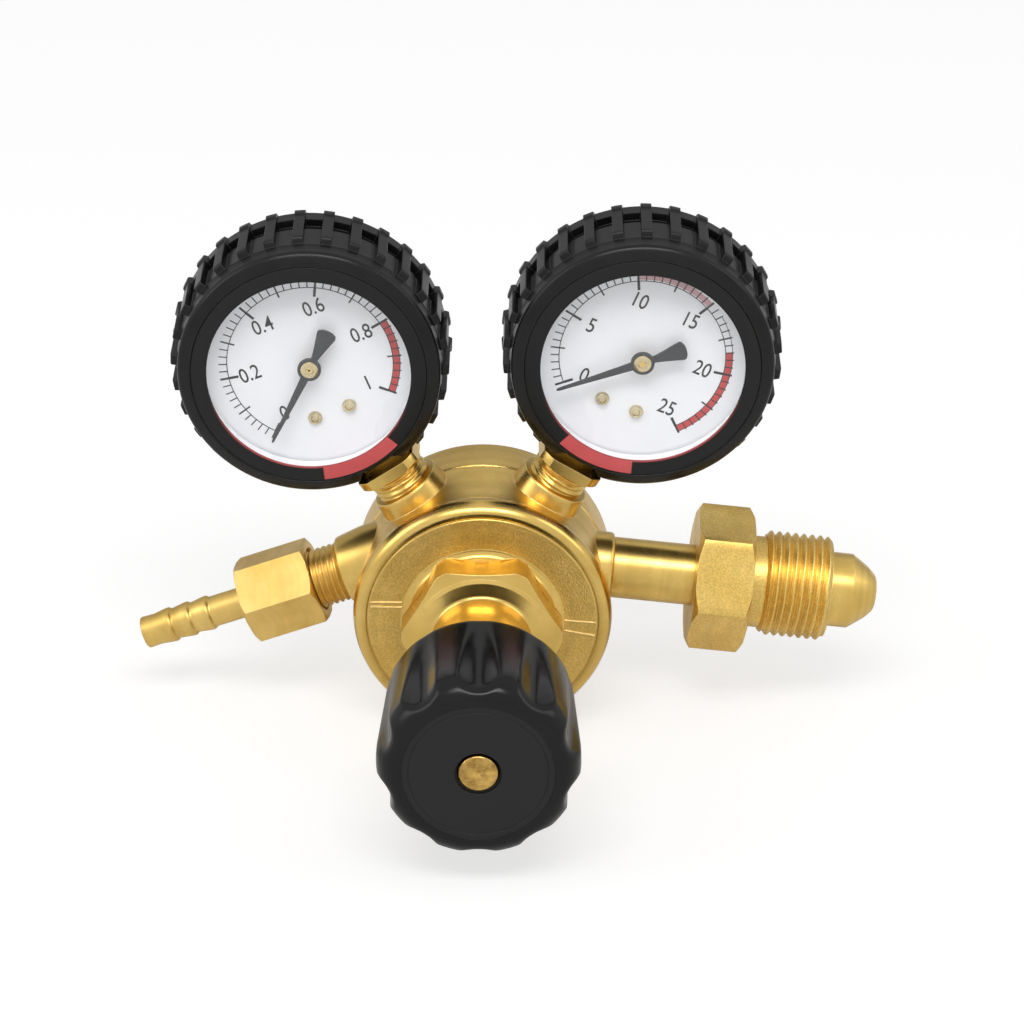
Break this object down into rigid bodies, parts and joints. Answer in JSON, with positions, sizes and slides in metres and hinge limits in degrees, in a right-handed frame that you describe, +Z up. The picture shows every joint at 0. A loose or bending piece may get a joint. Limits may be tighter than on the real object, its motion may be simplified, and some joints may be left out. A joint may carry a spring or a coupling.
{
  "type": "acetylene regulator",
  "caption": "Gas pressure regulator: round brass body, fluted adjusting knob, a pair of rubber-booted dial gauges, bull-nose inlet with union nut, barbed hose outlet.",
  "frame": {"origin": "on the inlet's axis, in the middle of the bull nose's straight part", "axes": "+Z up with the gauges above the body, -Y towards the knob and the dials, +X towards the gas cylinder; the inlet's axis falls a little towards +X"},
  "size_m": [0.1627, 0.0935, 0.114],
  "materials": {
    "forged_brass": "blasted forging with turned faces",
    "bar_brass": "turned and milled, satin",
    "bright_brass": "turned, bright",
    "steel": "plain",
    "bronze_filter": "sintered, matt",
    "diaphragm_rubber": "matt",
    "boot_rubber": "moulded, satin",
    "knob_plastic": "moulded, glossy",
    "disc_plastic": "moulded, matt",
    "bezel_black": "black enamel, semi-gloss",
    "lens": "clear polycarbonate",
    "white_enamel": "white enamel",
    "pointer_black": "matt black"
  },
  "bodies": {
    "regulator": {"body": "forged_brass", "bonnet": "forged_brass", "slip_ring": "steel", "diaphragm": "diaphragm_rubber", "main_spring": "steel", "valve_nozzle": "bright_brass", "valve_spring": "steel", "inlet_pipe": "bar_brass", "inlet_filter": "bronze_filter", "outlet_stub": "bar_brass", "left_socket": "bright_brass", "left_case": "white_enamel", "left_boot": "boot_rubber", "left_bezel": "bezel_black", "left_lens": "lens", "left_dial": "white_enamel", "left_dial_screws": "bright_brass", "left_movement": "bright_brass", "left_bourdon_tube": "bright_brass", "left_vent_plug": "boot_rubber", "right_socket": "bright_brass", "right_case": "white_enamel", "right_boot": "boot_rubber", "right_bezel": "bezel_black", "right_lens": "lens", "right_dial": "white_enamel", "right_dial_screws": "bright_brass", "right_movement": "bright_brass", "right_bourdon_tube": "bright_brass", "right_vent_plug": "boot_rubber"},
    "thrust": {"spring_button": "steel"},
    "knob": {"adjusting_screw": "bright_brass", "retaining_ring": "steel", "knob": "knob_plastic", "knob_disc": "disc_plastic"},
    "valve": {"diaphragm_plate": "bright_brass", "valve_poppet": "steel", "valve_seat": "diaphragm_rubber"},
    "inlet_nut": {"inlet_nut": "bar_brass"},
    "hose_tail": {"hose_tail": "bar_brass"},
    "outlet_nut": {"outlet_nut": "bar_brass"},
    "left_pointer": {"left_pointer": "pointer_black", "left_pinion": "bright_brass"},
    "left_sector": {"left_sector": "bright_brass"},
    "left_link": {"left_link": "steel"},
    "right_pointer": {"right_pointer": "pointer_black", "right_pinion": "bright_brass"},
    "right_sector": {"right_sector": "bright_brass"},
    "right_link": {"right_link": "steel"}
  },
  "joints": [
    {"name": "knob_turn", "type": "hinge", "parent": "thrust", "child": "knob", "pos_m": [-0.07899, -0.0624, 0.00088], "axis": [0, 1, 0], "range_deg": [0, 1728]},
    {"name": "screw_in", "type": "slide", "parent": "regulator", "child": "thrust", "axis": [0, 1, 0], "range_m": [0, 0.006], "deforming": ["main_spring"]},
    {"name": "valve_lift", "type": "slide", "parent": "regulator", "child": "valve", "axis": [0, 1, 0], "range_m": [0, 0.0008], "deforming": ["diaphragm", "valve_spring"]},
    {"name": "inlet_nut_turn", "type": "hinge", "parent": "regulator", "child": "inlet_nut", "pos_m": [-0.01655, 0, 0.0018], "axis": [0.9942, 0, -0.108], "continuous": true},
    {"name": "outlet_nut_turn", "type": "hinge", "parent": "hose_tail", "child": "outlet_nut", "pos_m": [-0.12603, 0, -0.00166], "axis": [-0.9409, 0, -0.3387], "range_deg": [-1885, 0]},
    {"name": "tail_release", "type": "slide", "parent": "regulator", "child": "hose_tail", "axis": [-0.9409, 0, -0.3387], "range_m": [0, 0.007]},
    {"name": "left_pointer_turn", "type": "hinge", "parent": "regulator", "child": "left_pointer", "pos_m": [-0.11578, 0, 0.05543], "axis": [0, 1, 0], "range_deg": [0, 265]},
    {"name": "left_sector_turn", "type": "hinge", "parent": "regulator", "child": "left_sector", "pos_m": [-0.10749, 0, 0.06102], "axis": [0, 1, 0], "range_deg": [-37.86, 0]},
    {"name": "left_link_slide", "type": "slide", "parent": "regulator", "child": "left_link", "axis": [-0.5592, 0, 0.829], "range_m": [0, 0.0026], "stiffness_N_per_m": 315, "springref_m": -0.0002, "deforming": ["left_bourdon_tube"]},
    {"name": "right_pointer_turn", "type": "hinge", "parent": "regulator", "child": "right_pointer", "pos_m": [-0.0451, 0, 0.05728], "axis": [0, 1, 0], "range_deg": [0, 265]},
    {"name": "right_sector_turn", "type": "hinge", "parent": "regulator", "child": "right_sector", "pos_m": [-0.03652, 0, 0.05213], "axis": [0, 1, 0], "range_deg": [-37.86, 0]},
    {"name": "right_link_slide", "type": "slide", "parent": "regulator", "child": "right_link", "axis": [0.515, 0, 0.8572], "range_m": [0, 0.0026], "stiffness_N_per_m": 315, "springref_m": -0.0002, "deforming": ["right_bourdon_tube"]}
  ],
  "couplings": [
    {"joint": "knob_turn", "follows": "screw_in", "rad_per_m": 5026.5},
    {"joint": "valve_lift", "follows": "screw_in", "ratio": 0.13333},
    {"joint": "outlet_nut_turn", "follows": "tail_release", "rad_per_m": -4699.9},
    {"joint": "left_sector_turn", "follows": "left_link_slide", "rad_per_m": -254.6},
    {"joint": "left_pointer_turn", "follows": "left_link_slide", "rad_per_m": 1782.2},
    {"joint": "right_sector_turn", "follows": "right_link_slide", "rad_per_m": -254.6},
    {"joint": "right_pointer_turn", "follows": "right_link_slide", "rad_per_m": 1782.2}
  ]
}
